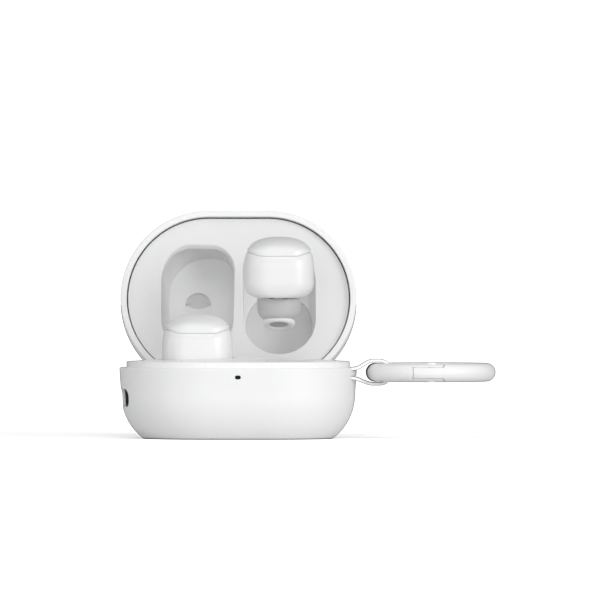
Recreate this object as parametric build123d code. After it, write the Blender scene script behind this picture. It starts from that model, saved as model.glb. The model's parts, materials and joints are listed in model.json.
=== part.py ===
from build123d import *
import os
from math import asin, cos, degrees, radians, sin, sqrt

# Charging case for wireless earbuds, in a soft two-piece cover with a strap and a ring carabiner.
#
# Millimetres, +Z up, with the origin at the centre of the flat foot.
# +X points to the carabiner and -Y to the front.
# The lid, its contents and the earbuds are drawn closed and seated, then moved to the rest pose:
# lid open, left earbud in its pocket, right earbud raised above its pocket.

# plan of the cover: two half circles joined by straight sides
HALF_STRAIGHT = 8.0
COVER_R = 24.0
COVER_WALL = 1.9
GAP = 0.05  # between pieces that are assembled face to face

# lower half
COVER_TOP = 19.2
FLANK_R = 16.2  # radius of the rounded flank
FLANK_Z = 12.7  # height where the flank becomes an upright wall
LIP_R = 0.5
CASE_WALL = 1.2
RIM_TOP = 20.85
DECK_UNDER = 19.4
DECK_PEAK = 22.1
DECK_R = COVER_R - COVER_WALL - CASE_WALL - 2 * GAP
DOME_R_X = 332.0  # crown of the deck, across and front to back
DOME_R_Y = 173.0

# upper half
LID_BOTTOM = 19.25
LID_TOP = 38.8
LID_R = 12.0
LID_WALL_Z = LID_TOP - LID_R
LID_SHELL_WALL = 1.0
LINER_WALL = 0.8
LID_CLEAR = 0.25  # round the rim, so that the lid can swing off it
SKIRT_TOP = 21.9
FLANGE_TOP = 21.45  # the liner's flange covers the edge of the lid shell
WELL_FLOOR = 34.1
WELL_DEEP_FLOOR = 35.0
MOUTH_TOP = 26.0  # below this the well's front corners are fuller, for the earbud's shoulders
MOUTH_CORNER = 5.6

# hinge
HINGE_Y = 22.2
HINGE_Z = 16.1
KNUCKLE_R = 1.5
PIN_R = 0.55
ARM_HALF = 7.4
BRACKET_HALF = 11.2
NOTCH_HALF = 17.4
NOTCH_BOTTOM = 13.9
LID_OPEN = 98.0

# earbuds
BUD_X = 11.0
BUD_W = 19.2
BUD_D = 21.4
BUD_CORNER = 4.5
BODY_BOTTOM = 17.2
BODY_TOP = BODY_BOTTOM + 11.3
BUD_APEX = BODY_BOTTOM + 16.5
CAP_SPHERE = 13.6
TIP_R = 6.1
TIP_BOTTOM = BODY_BOTTOM - 6.2
OUTLET_Z = BODY_BOTTOM - 6.5
OUTLET_TILT = 20.0
RIGHT_LIFT = 20.8
CONTACT_X = 1.9
CONTACT_Y = -7.3
POCKET_CLEAR = 0.3
SHELF_Z = BODY_BOTTOM - POCKET_CLEAR
SHELF_UNDER = 15.8
CUP_R = 6.5
CUP_FLOOR = 7.7

# charging socket
PORT_Y = -2.9
PORT_Z = 11.05
PORT_OPENING_W = 12.6  # in the cover
PORT_OPENING_H = 4.7
SOCKET_FRONT = -28.6
SOCKET_DEPTH = 7.3

# status light
LED_Z = 16.8

# strap and ring carabiner
STRAP_T = 0.75
STRAP_HALF = 7.95
STRAP_END_HALF = 4.0
STRAP_TOP = 19.15
STRAP_LOW = 16.2
STRAP_BACK_R = 23.03  # the band behind the bar, about the end's own axis
BEND_X = 33.4  # where the strap bends
BEND_GAP = 0.4
LOOP_X = 38.2
LOOP_R = 3.5
RING_X = 52.0
RING_Z = 17.9
RING_R = 15.0
TUBE_R = 2.43
EAR_SLOT = 1.55
TONGUE_HALF = 1.45
LAP_R = 25.3
TAIL_R = 5.0  # the gate's tongue ends on a circle about its pivot


def block(x, y, z):
    """Box from three (low, high) pairs."""
    size = [high - low for low, high in (x, y, z)]
    centre = [(high + low) / 2 for low, high in (x, y, z)]
    return Pos(*centre) * Box(*size)


def upright(radius, low, high, x=0.0, y=0.0):
    """Upright cylinder between two heights."""
    return Pos(x, y, (low + high) / 2) * Cylinder(radius, high - low)


def across(radius, low, high, y, z):
    """Cylinder along X between two places."""
    return Pos((low + high) / 2, y, z) * Rot(0, 90, 0) * Cylinder(radius, high - low)


def along(radius, low, high, x, z):
    """Cylinder along Y between two places."""
    return Pos(x, (low + high) / 2, z) * Rot(90, 0, 0) * Cylinder(radius, high - low)


def pill(profile):
    """Solid with the pill-shaped plan, from half a cross-section drawn in XZ from the axis outwards."""
    end = revolve(profile, Axis.Z)
    side = extrude(profile.rotate(Axis.Z, 90), HALF_STRAIGHT, both=True)
    return Pos(-HALF_STRAIGHT) * end + Pos(HALF_STRAIGHT) * end + side + side.rotate(Axis.Z, 180)


def pill_plate(radius, low, high):
    """Upright-walled plate with the pill-shaped plan."""
    return pill(Plane.XZ * Pos(radius / 2, (low + high) / 2) * Rectangle(radius, high - low))


def lower_shape(inset, bottom, top, lip=0.0):
    """Bowl shape of the lower half, set in from the cover's outside."""
    flank = FLANK_R - inset
    wall = COVER_R - inset
    centre = COVER_R - FLANK_R
    start = -degrees(asin((FLANK_Z - bottom) / flank))
    foot = centre + sqrt(flank**2 - (FLANK_Z - bottom) ** 2)
    outline = Polyline((0, top), (0, bottom), (foot, bottom))
    outline += CenterArc((centre, FLANK_Z), flank, start, -start)
    if lip:
        outline += Line((wall, FLANK_Z), (wall, top - lip))
        outline += CenterArc((wall - lip, top - lip), lip, 0, 90) + Line((wall - lip, top), (0, top))
    else:
        outline += Polyline((wall, FLANK_Z), (wall, top), (0, top))
    return pill(Plane.XZ * make_face(outline))


def upper_shape(inset, bottom):
    """Dish shape of the lid, set in from the cover's outside."""
    round_r = LID_R - inset
    wall = COVER_R - inset
    centre = COVER_R - LID_R
    top = LID_TOP - inset
    outline = Polyline((centre, top), (0, top), (0, bottom), (wall, bottom), (wall, LID_WALL_Z))
    outline += CenterArc((centre, LID_WALL_Z), round_r, 0, 90)
    return pill(Plane.XZ * make_face(outline))


def crown(lift):
    """Gently domed space under the top of the deck, raised by lift."""
    peak = DECK_PEAK + lift
    front_to_back = Pos(0, 0, peak - DOME_R_Y) * Rot(0, 90, 0) * Cylinder(DOME_R_Y, 80)
    side_to_side = Pos(0, 0, peak - DOME_R_X) * Rot(90, 0, 0) * Cylinder(DOME_R_X, 80)
    return front_to_back & side_to_side & block((-40, 40), (-30, 30), (10, 30))


def bud_plan(grow, low, high):
    """Rounded-square column of an earbud's plan, grown outwards."""
    plan = RectangleRounded(BUD_W + 2 * grow, BUD_D + 2 * grow, BUD_CORNER + grow)
    return Pos(0, 0, low) * extrude(plan, high - low)


def well_plan(grow, low, high, front_corner=8.0):
    """Column of a lid well's egg-shaped plan, wide at the front, round at the rear."""
    front, rear, half_front, half_rear = -14.0, 15.0, 10.0, 9.95
    shape = Polygon(
        (-half_front - grow, front - grow),
        (half_front + grow, front - grow),
        (half_rear + grow, rear + grow),
        (-half_rear - grow, rear + grow),
        align=None,
    )
    shape = fillet(shape.vertices().group_by(Axis.Y)[0], front_corner + grow)
    shape = fillet(shape.vertices().group_by(Axis.Y)[-1], 9.4 + grow)
    return Pos(0, 0, low) * extrude(shape, high - low)


def port_column(x, width, height):
    """Slot-shaped column through the left end at the charging socket."""
    slot = SlotOverall(width, height, rotation=90)
    return Pos(x, PORT_Y, PORT_Z) * Rot(0, -90, 0) * extrude(slot, 8)


# ---------------------------------------------------------------- lower half
def cover_base():
    body = lower_shape(0, 0, COVER_TOP, LIP_R) - lower_shape(COVER_WALL, COVER_WALL, 30)
    light = Pos(0, -20, LED_Z) * Rot(90, 0, 0) * extrude(SlotOverall(1.35, 0.8), 6)
    port = port_column(-27, PORT_OPENING_W, PORT_OPENING_H)
    notch = block((-NOTCH_HALF, NOTCH_HALF), (12, 30), (NOTCH_BOTTOM, 25))
    notch = fillet(notch.edges().filter_by(Axis.Y).group_by(Axis.Z)[0], 1.6)
    side = (STRAP_HALF + GAP) * 2
    low_slot = Pos(30, 0, STRAP_LOW + STRAP_T / 2) * Box(12, side, STRAP_T + 2 * GAP)
    top_slot = block((24, 36), (-side / 2, side / 2), (STRAP_TOP - STRAP_T - GAP, 25))
    behind = upright(STRAP_BACK_R + GAP, STRAP_LOW - GAP, 25, HALF_STRAIGHT)
    behind = behind & block((20, 36), (-side / 2, side / 2), (10, 30))
    return body - light - port - notch - low_slot - top_slot - behind


def case_base_shell():
    inset = COVER_WALL + GAP
    inner = inset + CASE_WALL
    body = lower_shape(inset, inset, RIM_TOP, 0.35) - lower_shape(inner, inner, 30)
    notch = block((-BRACKET_HALF - 0.4, BRACKET_HALF + 0.4), (18, 26), (14.3, 25))
    port = port_column(-24, 9.4, 3.7)
    light = Pos(0, -19, LED_Z) * Rot(90, 0, 0) * extrude(SlotOverall(1.4, 0.85), 5)
    screws = [along(0.65, 18, 21.65, x, 11.5) for x in (-6, 6)]
    return body - notch - port - light - screws


def cradle():
    deck = pill_plate(DECK_R, DECK_UNDER, 23) & crown(0)
    solid = deck
    for x in (-BUD_X, BUD_X):
        solid += Pos(x) * bud_plan(POCKET_CLEAR + 1.2, SHELF_UNDER, DECK_UNDER + 0.5)
        solid += upright(CUP_R + 0.8, CUP_FLOOR - 1.1, SHELF_UNDER + 0.5, x)
    for x in (-BUD_X, BUD_X):
        solid -= Pos(x) * bud_plan(POCKET_CLEAR, SHELF_Z, 25)
        solid -= upright(CUP_R, CUP_FLOOR, 20, x)
        for pin in (-CONTACT_X, CONTACT_X):
            solid -= upright(0.5, 10, 20, x + pin, CONTACT_Y)
            solid -= upright(0.66, CUP_FLOOR - 2, SHELF_UNDER, x + pin, CONTACT_Y)
    return solid


def pogo_pins():
    pins = []
    for x in (-BUD_X, BUD_X):
        for side in (-CONTACT_X, CONTACT_X):
            pin = upright(0.4, 12.6, SHELF_Z + 0.06, x + side, CONTACT_Y)
            pins.append(pin + upright(0.6, 13.3, SHELF_UNDER - GAP, x + side, CONTACT_Y))
    return pins


def bud_magnets():
    places = [x + dx for x in (-BUD_X, BUD_X) for dx in (-4.5, 4.5)]
    return [upright(1.4, 14.1, SHELF_UNDER - GAP, x, 9.2) for x in places]


def base_lid_magnets():
    return [block((low, low + 6), (-18.6, -16.2), (16.4, DECK_UNDER - GAP)) for low in (-14, 8)]


def battery():
    cell = block((-12, 12), (-18.2, -12.6), (6, 16))
    return fillet(cell.edges().filter_by(Axis.X), 1.0)


def battery_pad():
    return block((-8, 8), (-16.5, -13), (5.2, 5.95))


def main_pcb():
    return pill_plate(15.5, 3.55, 4.35)


def pcb_chips():
    places = [
        (0, -4, 3.2, 4.0),
        (0, 3, 3.2, 3.2),
        (-8, -11.2, 4.0, 3.0),
        (8, 11.2, 5.0, 3.0),
        (-7, 11.4, 2.4, 2.4),
    ]
    return [Pos(x, y, 4.85) * Box(w, d, 0.9) for x, y, w, d in places]


def port_board():
    return block((-26.5, -19), (PORT_Y - 4.5, PORT_Y + 4.5), (8.55, 9.35))


def usb_port_shell():
    outer = extrude(SlotOverall(8.94, 3.26, rotation=90), SOCKET_DEPTH)
    inner = Pos(0, 0, 0.3) * extrude(SlotOverall(8.34, 2.66, rotation=90), SOCKET_DEPTH)
    return Pos(SOCKET_FRONT + SOCKET_DEPTH, PORT_Y, PORT_Z) * Rot(0, -90, 0) * (outer - inner)


def usb_port_tongue():
    back = SOCKET_FRONT + SOCKET_DEPTH - 0.35
    return block((SOCKET_FRONT + 0.8, back), (PORT_Y - 3.35, PORT_Y + 3.35), (PORT_Z - 0.35, PORT_Z + 0.35))


def led_board():
    return block((-3, 3), (-19.4, -18.8), (14.7, 19.0))


def led_chip():
    return block((-0.8, 0.8), (-20.0, -19.45), (LED_Z - 0.5, LED_Z + 0.5))


def light_pipe():
    return Pos(0, -20.1, LED_Z) * Rot(90, 0, 0) * extrude(SlotOverall(1.3, 0.75), 1.9)


def flex_cable():
    level = block((-1.5, 1.5), (-18.75, -12.35), (16.15, 16.3))
    return level + block((-1.5, 1.5), (-12.5, -12.35), (4.4, 16.3))


# --------------------------------------------------------------------- hinge
def hinge_bracket():
    body = block((-10.4, 10.4), (19.2, 20.0), (9.4, 14.9))
    for side in (-1, 1):
        low, high = sorted((side * (ARM_HALF + 0.2), side * BRACKET_HALF))
        body += across(KNUCKLE_R, low, high, HINGE_Y, HINGE_Z)
        body += block((low, high), (19.2, HINGE_Y), (HINGE_Z - KNUCKLE_R, HINGE_Z - 0.4))
        body -= across(PIN_R + 0.02, low - 1, high + 1, HINGE_Y, HINGE_Z)
    return body - [along(0.65, 18, 22, x, 11.5) for x in (-6, 6)]


def hinge_pin():
    return across(PIN_R, -BRACKET_HALF, BRACKET_HALF, HINGE_Y, HINGE_Z)


def bracket_screws():
    return [along(0.6, 18.7, 21.6, x, 11.5) + along(1.1, 18.35, 19.15, x, 11.5) for x in (-6, 6)]


def hinge_arm():
    body = across(KNUCKLE_R, -ARM_HALF, ARM_HALF, HINGE_Y, HINGE_Z)
    body += block((-ARM_HALF, ARM_HALF), (21.15, 21.95), (HINGE_Z, 26))
    body -= across(PIN_R + 0.06, -10, 10, HINGE_Y, HINGE_Z)
    for x in (-4.5, 4.5):
        body -= Pos(x, 21.55, 23.5) * Rot(-90, 0, 0) * Cone(0.75, 1.55, 0.8)
    return body


def arm_screws():
    screws = []
    for x in (-4.5, 4.5):
        head = Pos(x, 21.55, 23.5) * Rot(-90, 0, 0) * Cone(0.7, 1.5, 0.8)
        screws.append(head + along(0.6, 18.4, 21.4, x, 23.5))
    return screws


# ----------------------------------------------------------------------- lid
def cover_lid():
    hollow = upper_shape(COVER_WALL, RIM_TOP)
    skirt = pill_plate(COVER_R - COVER_WALL + LID_CLEAR, 10, SKIRT_TOP)
    return upper_shape(0, LID_BOTTOM) - hollow - skirt


def case_lid_shell():
    inset = COVER_WALL + GAP
    body = upper_shape(inset, FLANGE_TOP + GAP) - upper_shape(inset + LID_SHELL_WALL, 10)
    return body - block((-ARM_HALF - 0.5, ARM_HALF + 0.5), (19, 23.5), (20, 26.5))


def lid_liner():
    inset = COVER_WALL + LID_SHELL_WALL + 2 * GAP
    solid = pill_plate(COVER_R - inset, RIM_TOP + GAP, 23.2)
    for x in (-BUD_X, BUD_X):
        solid += Pos(x) * well_plan(LINER_WALL, 22.5, MOUTH_TOP + LINER_WALL, MOUTH_CORNER)
        solid += Pos(x) * well_plan(LINER_WALL, 22.5, WELL_FLOOR + LINER_WALL)
        solid += upright(8.6 + LINER_WALL, 31, WELL_DEEP_FLOOR + 0.7, x, 6.0)
    solid += block((-7, 7), (17.8, 21.05), (22, 25.5))
    solid = solid & (upper_shape(inset, 20) + block((-7, 7), (17.8, 21.05), (21, 25.5)))
    solid += pill_plate(COVER_R - COVER_WALL - 2 * GAP, RIM_TOP + GAP, FLANGE_TOP)
    solid -= block((-ARM_HALF - 0.5, ARM_HALF + 0.5), (21.05, 23.5), (20, 26.5))
    solid -= crown(0.35)
    for x in (-BUD_X, BUD_X):
        solid -= Pos(x) * well_plan(0, 15, MOUTH_TOP, MOUTH_CORNER)
        solid -= Pos(x) * well_plan(0, 15, WELL_FLOOR)
        solid -= upright(8.6, 25, WELL_DEEP_FLOOR, x, 6.0)
    return solid - [along(0.65, 18.3, 22, x, 23.5) for x in (-4.5, 4.5)]


def lid_magnets():
    return [block((low, low + 6), (-18.6, -16.2), (23.25, 25.25)) for low in (-14, 8)]


# ------------------------------------------------------------------ earbuds
def bud_cap():
    top = Pos(0, 0, BUD_APEX - CAP_SPHERE) * Sphere(CAP_SPHERE)
    under = Pos(0, 0, BUD_APEX - CAP_SPHERE) * Sphere(CAP_SPHERE - 0.9)
    outside = bud_plan(-0.8, BODY_TOP + GAP, BUD_APEX + 1) & top
    return outside - (bud_plan(-1.8, BODY_BOTTOM + 5, BUD_APEX) & under)


def bud_body():
    outside = bud_plan(0, BODY_BOTTOM, BODY_TOP)
    outside = fillet(outside.edges().group_by(Axis.Z)[0], 3.0)
    outside = fillet(outside.edges().group_by(Axis.Z)[-1], 1.2)
    body = outside - bud_plan(-1.8, BODY_BOTTOM + 1.1, BODY_TOP + 1)
    for x in (-CONTACT_X, CONTACT_X):
        body -= upright(0.5, BODY_BOTTOM - 1, BODY_BOTTOM + 0.6, x, CONTACT_Y)
    return body - upright(1.9, BODY_BOTTOM - 1, BODY_BOTTOM + 2)


def bud_contacts():
    low, high = BODY_BOTTOM - 0.12, BODY_BOTTOM + 0.55
    return [upright(0.45, low, high, x, CONTACT_Y) for x in (-CONTACT_X, CONTACT_X)]


def nozzle_mouth(radius, low, high):
    """Cylinder on the tilted axis of the sound outlet, measured from the outlet's centre."""
    return Pos(0, -0.4, OUTLET_Z) * Rot(-OUTLET_TILT, 0, 0) * upright(radius, low, high)


def bud_nozzle():
    stem = upright(3.0, OUTLET_Z - 0.1, BODY_BOTTOM - GAP)
    stem += upright(1.85, TIP_BOTTOM + 2, BODY_BOTTOM + 1.3)
    ring = nozzle_mouth(4.3, -1.0, 1.0)
    ring = fillet(ring.edges().filter_by(GeomType.CIRCLE).group_by(Axis.Z)[0], 0.5)
    return stem + ring - nozzle_mouth(3.1, -3, -0.2) - upright(1.2, OUTLET_Z - 2, BODY_BOTTOM + 3)


def bud_mesh():
    return nozzle_mouth(3.05, -0.6, -0.3)


def bud_tip():
    """Ear tip: a soft bucket, closed round the stem at its foot and open towards the earbud."""
    def bucket(radius, low, high, corner):
        column = upright(radius, low, high)
        return fillet(column.edges().filter_by(GeomType.CIRCLE).group_by(Axis.Z)[0], corner)

    outside = bucket(TIP_R, TIP_BOTTOM, BODY_BOTTOM - 0.25, 2.6)
    inside = bucket(TIP_R - 0.8, TIP_BOTTOM + 0.8, BODY_BOTTOM + 1, 2.0)
    return outside - inside - upright(3.05, 0, BODY_BOTTOM + 2) - nozzle_mouth(4.35, -3, 1.05)


def bud_driver():
    return upright(5.5, BODY_BOTTOM + 1.4, BODY_BOTTOM + 4.6)


def bud_cell():
    return upright(6.0, BODY_BOTTOM + 5.0, BODY_BOTTOM + 10.0)


def bud_board():
    return upright(6.6, BODY_BOTTOM + 10.3, BODY_BOTTOM + 10.9)


def bud_magnet():
    return block((-2.5, 2.5), (-8.4, -6.8), (BODY_BOTTOM + 2.2, BODY_BOTTOM + 5.7))


# ------------------------------------------------------------------- strap
def strap_plan(low, high):
    """Plan of the strap: wide at the cover, narrow round the ring."""
    half = Spline((31, STRAP_HALF), (33.8, 5.6), (36.6, STRAP_END_HALF), tangents=[(1, 0), (1, 0)])
    end = Polyline((36.6, STRAP_END_HALF), (45, STRAP_END_HALF), (45, 0), (20, 0))
    side = make_face(half + end + Polyline((20, 0), (20, STRAP_HALF), (31, STRAP_HALF)))
    plan = side + mirror(side, Plane.XZ)
    return Pos(0, 0, low) * extrude(plan, high - low)


def strap_root():
    reach = BEND_X - BEND_GAP
    band = upright(STRAP_BACK_R, STRAP_LOW, STRAP_TOP, HALF_STRAIGHT)
    band -= upright(22.15, 10, 25, HALF_STRAIGHT)
    solid = band & block((20, 36), (-STRAP_HALF, STRAP_HALF), (10, 30))
    for low in (STRAP_LOW, STRAP_TOP - STRAP_T):
        strand = block((20, reach), (-STRAP_HALF, STRAP_HALF), (low, low + STRAP_T))
        solid += strand - upright(22.6, 10, 25, HALF_STRAIGHT)
    return solid & strap_plan(10, 25)


def strap_side(grow):
    """Side view of the strap's loop: two strands that spread into a round end."""
    top, low = STRAP_TOP + grow, STRAP_LOW - grow
    radius = LOOP_R + grow
    start = BEND_X + BEND_GAP
    upper = Spline((31, top), (LOOP_X - 1.5, RING_Z + radius), tangents=[(1, 0), (1, 0)])
    lower = Spline((31, low), (LOOP_X - 1.5, RING_Z - radius), tangents=[(1, 0), (1, 0)])
    outline = upper + lower + Line((31, low), (31, top))
    outline += Line((LOOP_X - 1.5, RING_Z + radius), (LOOP_X, RING_Z + radius))
    outline += Line((LOOP_X - 1.5, RING_Z - radius), (LOOP_X, RING_Z - radius))
    outline += CenterArc((LOOP_X, RING_Z), radius, -90, 180)
    side = Plane.XZ * make_face(outline)
    return extrude(side, 12, both=True) & block((start, 50), (-20, 20), (5, 30))


def strap_loop():
    return (strap_side(0) - strap_side(-STRAP_T)) & strap_plan(5, 30)


# --------------------------------------------------------------- carabiner
def tube(start, end):
    """Stretch of the ring's tube between two angles, counter-clockwise seen from above."""
    section = Plane.XZ * Pos(RING_R, 0) * Circle(TUBE_R)
    return Rot(0, 0, start) * revolve(section, Axis.Z, end - start)


def sector(start, end, half):
    """Wedge about the ring's axis between two angles, as thick as the tube or less."""
    reach = 30
    angles = [radians(angle) for angle in (start, (start + end) / 2, end)]
    corners = [(reach * cos(angle), reach * sin(angle)) for angle in angles]
    return extrude(make_face(Polyline((0, 0), *corners, close=True)), half, both=True)


def at_pivot(radius, low=-5.0, high=5.0):
    """Cylinder on the gate's pivot."""
    return upright(radius, low, high, 0, -RING_R)


def carabiner_ring():
    body = tube(16, 290)
    body -= at_pivot(LAP_R + 0.15) & block((0, 30), (-5, 30), (-5, 5))
    body -= sector(240, 271, EAR_SLOT) & at_pivot(TAIL_R + 0.15)
    body -= sector(270, 310, EAR_SLOT)
    body -= sector(270, 310, 5) - at_pivot(3.45)
    body -= at_pivot(0.93)
    body -= at_pivot(1.46, 2.2, 5)
    body -= at_pivot(1.46, -5, -2.2)
    return Pos(RING_X, 0, RING_Z) * body


def carabiner_gate():
    arm = (tube(-78, 39) & at_pivot(LAP_R - 0.15)) - at_pivot(3.75)
    tongue = tube(-111, -70) & block((-20, 20), (-20, 0), (-TONGUE_HALF, TONGUE_HALF)) & at_pivot(TAIL_R)
    body = arm + tongue - at_pivot(0.96) - at_pivot(1.6, -3, -0.6)
    return Pos(RING_X, 0, RING_Z) * body


def gate_rivet():
    head = at_pivot(1.4, 2.22, 2.88)
    head = fillet(head.edges().filter_by(GeomType.CIRCLE).group_by(Axis.Z)[-1], 0.4)
    body = at_pivot(0.9, -2.42, 2.5) + head + at_pivot(1.4, -2.42, -2.22)
    return Pos(RING_X, 0, RING_Z) * body


def gate_spring():
    return Pos(RING_X, 0, RING_Z) * (at_pivot(1.5, -1.4, -0.75) - at_pivot(1.05))


# --------------------------------------------------------------- assembly
BASE = [
    cover_base, case_base_shell, cradle, battery, battery_pad, main_pcb, pcb_chips, port_board,
    usb_port_shell, usb_port_tongue, led_board, led_chip, light_pipe, flex_cable, pogo_pins, bud_magnets,
    base_lid_magnets, hinge_bracket, hinge_pin, bracket_screws, strap_root,
]
LID = [cover_lid, case_lid_shell, lid_liner, hinge_arm, arm_screws, lid_magnets]
BUD = [
    bud_cap, bud_body, bud_contacts, bud_nozzle, bud_mesh, bud_tip, bud_driver, bud_cell, bud_board,
    bud_magnet,
]
STRAP = [strap_loop, carabiner_ring, carabiner_gate, gate_rivet, gate_spring]


def save(name, shape, place=None):
    """Write one node, moved to its place at rest."""
    pieces = list(shape) if isinstance(shape, (list, ShapeList)) else [shape]
    node = Compound(children=[Part(piece.wrapped) for piece in pieces]) if len(pieces) > 1 else pieces[0]
    export_step(place * node if place else node, f"parts/{name}.step")


def main():
    os.makedirs("parts", exist_ok=True)
    opened = Pos(0, HINGE_Y, HINGE_Z) * Rot(-LID_OPEN, 0, 0) * Pos(0, -HINGE_Y, -HINGE_Z)
    for make in BASE + STRAP:
        save(make.__name__, make())
    for make in LID:
        save(make.__name__, make(), opened)
    for make in BUD:
        name = make.__name__.removeprefix("bud_")
        save("left_bud_" + name, make(), Pos(-BUD_X, 0, 0))
        save("right_bud_" + name, make(), Pos(BUD_X, 0, RIGHT_LIFT))


main()
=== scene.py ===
"""Looks of the wireless earbuds case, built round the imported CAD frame.

Shapes are drawn in millimetres, in the frame's own axes: the case opens towards -Y and the carabiner
points to +X. The lid is drawn closed and turned open about the hinge, and the earbuds are drawn seated and
moved to their places.
"""

import json
import math

import bmesh
import bpy
from mathutils import Matrix, Vector


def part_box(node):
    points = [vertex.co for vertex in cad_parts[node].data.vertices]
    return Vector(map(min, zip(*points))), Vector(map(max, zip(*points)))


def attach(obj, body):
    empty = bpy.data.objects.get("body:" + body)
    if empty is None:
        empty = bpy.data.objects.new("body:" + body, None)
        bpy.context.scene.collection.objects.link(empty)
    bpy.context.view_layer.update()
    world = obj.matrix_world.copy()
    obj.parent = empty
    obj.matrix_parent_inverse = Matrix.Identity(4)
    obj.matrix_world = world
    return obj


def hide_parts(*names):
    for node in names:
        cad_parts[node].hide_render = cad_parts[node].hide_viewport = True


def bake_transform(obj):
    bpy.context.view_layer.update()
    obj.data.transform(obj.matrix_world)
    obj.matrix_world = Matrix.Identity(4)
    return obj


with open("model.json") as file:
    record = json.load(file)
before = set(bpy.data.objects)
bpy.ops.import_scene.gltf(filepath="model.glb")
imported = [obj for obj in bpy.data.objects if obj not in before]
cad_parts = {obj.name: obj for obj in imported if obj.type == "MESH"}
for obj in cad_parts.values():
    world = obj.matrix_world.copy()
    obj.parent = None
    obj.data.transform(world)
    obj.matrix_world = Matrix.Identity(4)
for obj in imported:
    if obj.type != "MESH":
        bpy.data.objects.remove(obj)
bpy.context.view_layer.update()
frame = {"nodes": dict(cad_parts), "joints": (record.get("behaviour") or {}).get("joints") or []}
MM = 0.001

# ------------------------------------------------------------- sizes, in mm
cover_low, cover_high = (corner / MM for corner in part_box("cover_base"))
COVER_R = cover_high.y
HALF_STRAIGHT = -cover_low.x - COVER_R
COVER_TOP = cover_high.z
COVER_WALL = 1.9
INNER_R = COVER_R - COVER_WALL
GAP = 0.05  # between pieces that are assembled face to face
FLANK_R = 15.0
FLANK_Z = 12.0
FLARE = 0.5  # the upright wall leans out by this much up to the lip
CASE_R = INNER_R - GAP
DECK_R = CASE_R - 1.25
DECK_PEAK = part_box("cradle")[1].z / MM
DOME_R_X = 332.0
DOME_R_Y = 173.0

NOTCH_HALF, NOTCH_BOTTOM = 17.4, 13.9
LED_Z = 16.8
LED_HALF_W, LED_HALF_H = 0.78, 0.53
PORT_Y, PORT_Z = -2.9, 11.05
PORT_HALF_W, PORT_HALF_H = 6.3, 2.35

LID_BOTTOM = 19.25
LID_TOP = 38.8
LID_ROUND = 12.0
LINER_R = INNER_R - 1.1
LINER_TOP = 23.2
FLANGE_TOP = 21.47
SEAM_DEPTH = 24.4  # height that the seam between cover and liner reaches inside the closed lid
LINER_PEAK = DECK_PEAK + 0.35
WELL_FLOOR = 34.1
POCKET_Y = 5.8  # middle of the round pocket in the right lid well
POCKET_R = 9.05
ARM_ROOM_HALF = 7.9  # half width of the room for the hinge arm
# Corner arcs of the left lid well, from its middle: x, y, radius and lengthening along y.
# The front corners are narrower than the CAD's, so the right earbud cuts into them part of the way down.
WELL_LIP = (
    (3.4, -8.2, 6.65, 1.05), (0.37, 5.5, 9.28, 1.02), (-0.42, 5.5, 9.58, 0.99), (-2.0, -4.6, 8.0, 1.33),
)
WELL_EDGE = (
    (3.5, -7.8, 6.15, 1.0), (0.35, 5.5, 9.25, 1.02), (-0.4, 5.5, 9.55, 1.0), (-2.0, -3.6, 7.95, 1.31),
)
WELL_FLOOR_EDGE = (
    (4.6, -7.7, 5.0, 1.0), (1.2, 5.6, 8.4, 1.0), (0.6, 5.6, 8.4, 1.0), (2.7, -2.1, 10.6, 1.0),
)

bud_low, bud_high = (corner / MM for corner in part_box("left_bud_body"))
BUD_X = -(bud_low.x + bud_high.x) / 2
BUD_HALF_W = (bud_high.x - bud_low.x) / 2
BUD_HALF_D = bud_high.y
BUD_CORNER = 4.5
SOFT_CORNER = 6.4  # the earbud's own, softer corner
BODY_BOTTOM = bud_low.z
RIGHT_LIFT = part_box("right_bud_body")[0].z / MM - BODY_BOTTOM
cap_low, cap_high = (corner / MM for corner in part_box("left_bud_cap"))
BUD_APEX = cap_high.z
CAP_HALF_W = (cap_high.x - cap_low.x) / 2 - 0.3
CAP_HALF_D = cap_high.y - 0.3
DOME_EDGE = BUD_APEX - 4.1
PARTING = BUD_APEX - 5.2
BUD_FOOT_R = 4.2  # rounding under the earbud
CONTACT_X, CONTACT_Y = 1.9, -7.3
OUTLET_Z = BODY_BOTTOM - 6.75
SHELF_Z = BODY_BOTTOM - 0.3
CUP_R = 6.5
CUP_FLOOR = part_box("cradle")[0].z / MM + 1.1

STRAP_T = 0.75
STRAP_TOP = 19.15
STRAP_LOW = 16.2
STRAP_HALF = 7.95
STRAP_END_HALF = 4.0
STRAP_SIDE = STRAP_HALF - GAP  # half width as drawn, clear of the slots
STRAP_BACK = INNER_R + HALF_STRAIGHT + 0.5  # where the band runs behind the bar
STRAP_SPREAD = 31.0  # where the two strands begin to spread
RING_Z = 17.9
LOOP_X = 38.2
LOOP_R = 3.5
RING_X, RING_R, TUBE_R = 52.0, 15.0, 2.43

lid_joint = next(joint for joint in frame["joints"] if joint["name"] == "lid_hinge")
HINGE = Vector(lid_joint["pos_m"])
OPENED = (
    Matrix.Translation(HINGE)
    @ Matrix.Rotation(math.radians(lid_joint["range_deg"][0]), 4, "X")
    @ Matrix.Translation(-HINGE)
)
LEFT_BUD = Matrix.Translation((-BUD_X * MM, 0, 0))
RIGHT_BUD = Matrix.Translation((BUD_X * MM, 0, RIGHT_LIFT * MM))


# ------------------------------------------------------------- mesh helpers
def arc(cx, cz, radius, start, end, steps):
    """Points of an arc in a profile, angles in degrees."""
    angles = [math.radians(start + (end - start) * i / steps) for i in range(steps + 1)]
    return [(cx + radius * math.cos(a), cz + radius * math.sin(a)) for a in angles]


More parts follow.
